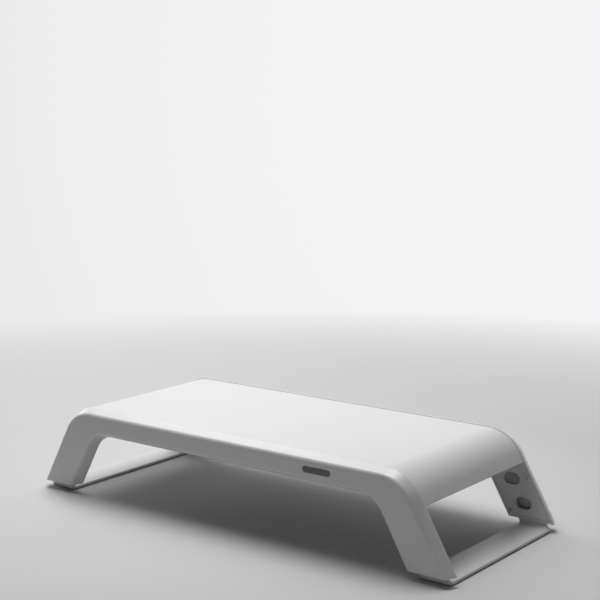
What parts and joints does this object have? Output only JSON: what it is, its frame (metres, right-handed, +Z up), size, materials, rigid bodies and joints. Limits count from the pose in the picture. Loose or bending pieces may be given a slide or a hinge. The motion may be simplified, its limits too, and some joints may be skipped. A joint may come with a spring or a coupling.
{
  "type": "monitor riser stand",
  "caption": "Low riser stand for a monitor: a wide ribbed deck between two arches with splayed legs, on slide-out feet held by sprung latch buttons.",
  "frame": {"origin": "middle of the footprint, on the desk", "axes": "+X along the width to the user's right, -Y towards the user, +Z up"},
  "size_m": [0.5516, 0.216, 0.102],
  "materials": {
    "white_shell": "satin, finely grained white",
    "foot_shell": "satin off-white",
    "dark_plastic": "satin dark grey",
    "grey_plastic": "satin mid grey",
    "rubber": "matte black",
    "steel": "zinc-plated satin"
  },
  "bodies": {
    "stand": {"deck_panel": "white_shell", "front_arch": "white_shell", "rear_arch": "white_shell", "leg_cover_front_left": "white_shell", "leg_cover_front_right": "white_shell", "leg_cover_rear_left": "white_shell", "leg_cover_rear_right": "white_shell", "rail_badge": "dark_plastic", "arch_screw_front_1": "steel", "arch_screw_front_2": "steel", "arch_screw_front_3": "steel", "arch_screw_front_4": "steel", "arch_screw_rear_1": "steel", "arch_screw_rear_2": "steel", "arch_screw_rear_3": "steel", "arch_screw_rear_4": "steel", "cover_screw_front_left_1": "steel", "cover_screw_front_left_2": "steel", "cover_screw_front_right_1": "steel", "cover_screw_front_right_2": "steel", "cover_screw_rear_left_1": "steel", "cover_screw_rear_left_2": "steel", "cover_screw_rear_right_1": "steel", "cover_screw_rear_right_2": "steel"},
    "foot_left": {"foot_frame_left": "foot_shell", "foot_sole_left": "rubber", "latch_spring_front_left": "steel", "spring_rivet_front_left": "steel", "latch_spring_rear_left": "steel", "spring_rivet_rear_left": "steel"},
    "foot_right": {"foot_frame_right": "foot_shell", "foot_sole_right": "rubber", "latch_spring_front_right": "steel", "spring_rivet_front_right": "steel", "latch_spring_rear_right": "steel", "spring_rivet_rear_right": "steel"},
    "button_front_left": {"latch_button_front_left": "grey_plastic"},
    "button_rear_left": {"latch_button_rear_left": "grey_plastic"},
    "button_front_right": {"latch_button_front_right": "grey_plastic"},
    "button_rear_right": {"latch_button_rear_right": "grey_plastic"}
  },
  "joints": [
    {"name": "foot_left_slide", "type": "slide", "parent": "stand", "child": "foot_left", "axis": [-0.4955, 0, -0.8686], "range_m": [0, 0.0285]},
    {"name": "foot_right_slide", "type": "slide", "parent": "stand", "child": "foot_right", "axis": [0.4955, 0, -0.8686], "range_m": [0, 0.0285]},
    {"name": "button_front_left_press", "type": "slide", "parent": "foot_left", "child": "button_front_left", "axis": [0, -1, 0], "range_m": [0, 0.0015], "stiffness_N_per_m": 400, "springref_m": -0.001},
    {"name": "button_rear_left_press", "type": "slide", "parent": "foot_left", "child": "button_rear_left", "axis": [0, 1, 0], "range_m": [0, 0.0015], "stiffness_N_per_m": 400, "springref_m": -0.001},
    {"name": "button_front_right_press", "type": "slide", "parent": "foot_right", "child": "button_front_right", "axis": [0, -1, 0], "range_m": [0, 0.0015], "stiffness_N_per_m": 400, "springref_m": -0.001},
    {"name": "button_rear_right_press", "type": "slide", "parent": "foot_right", "child": "button_rear_right", "axis": [0, 1, 0], "range_m": [0, 0.0015], "stiffness_N_per_m": 400, "springref_m": -0.001}
  ]
}
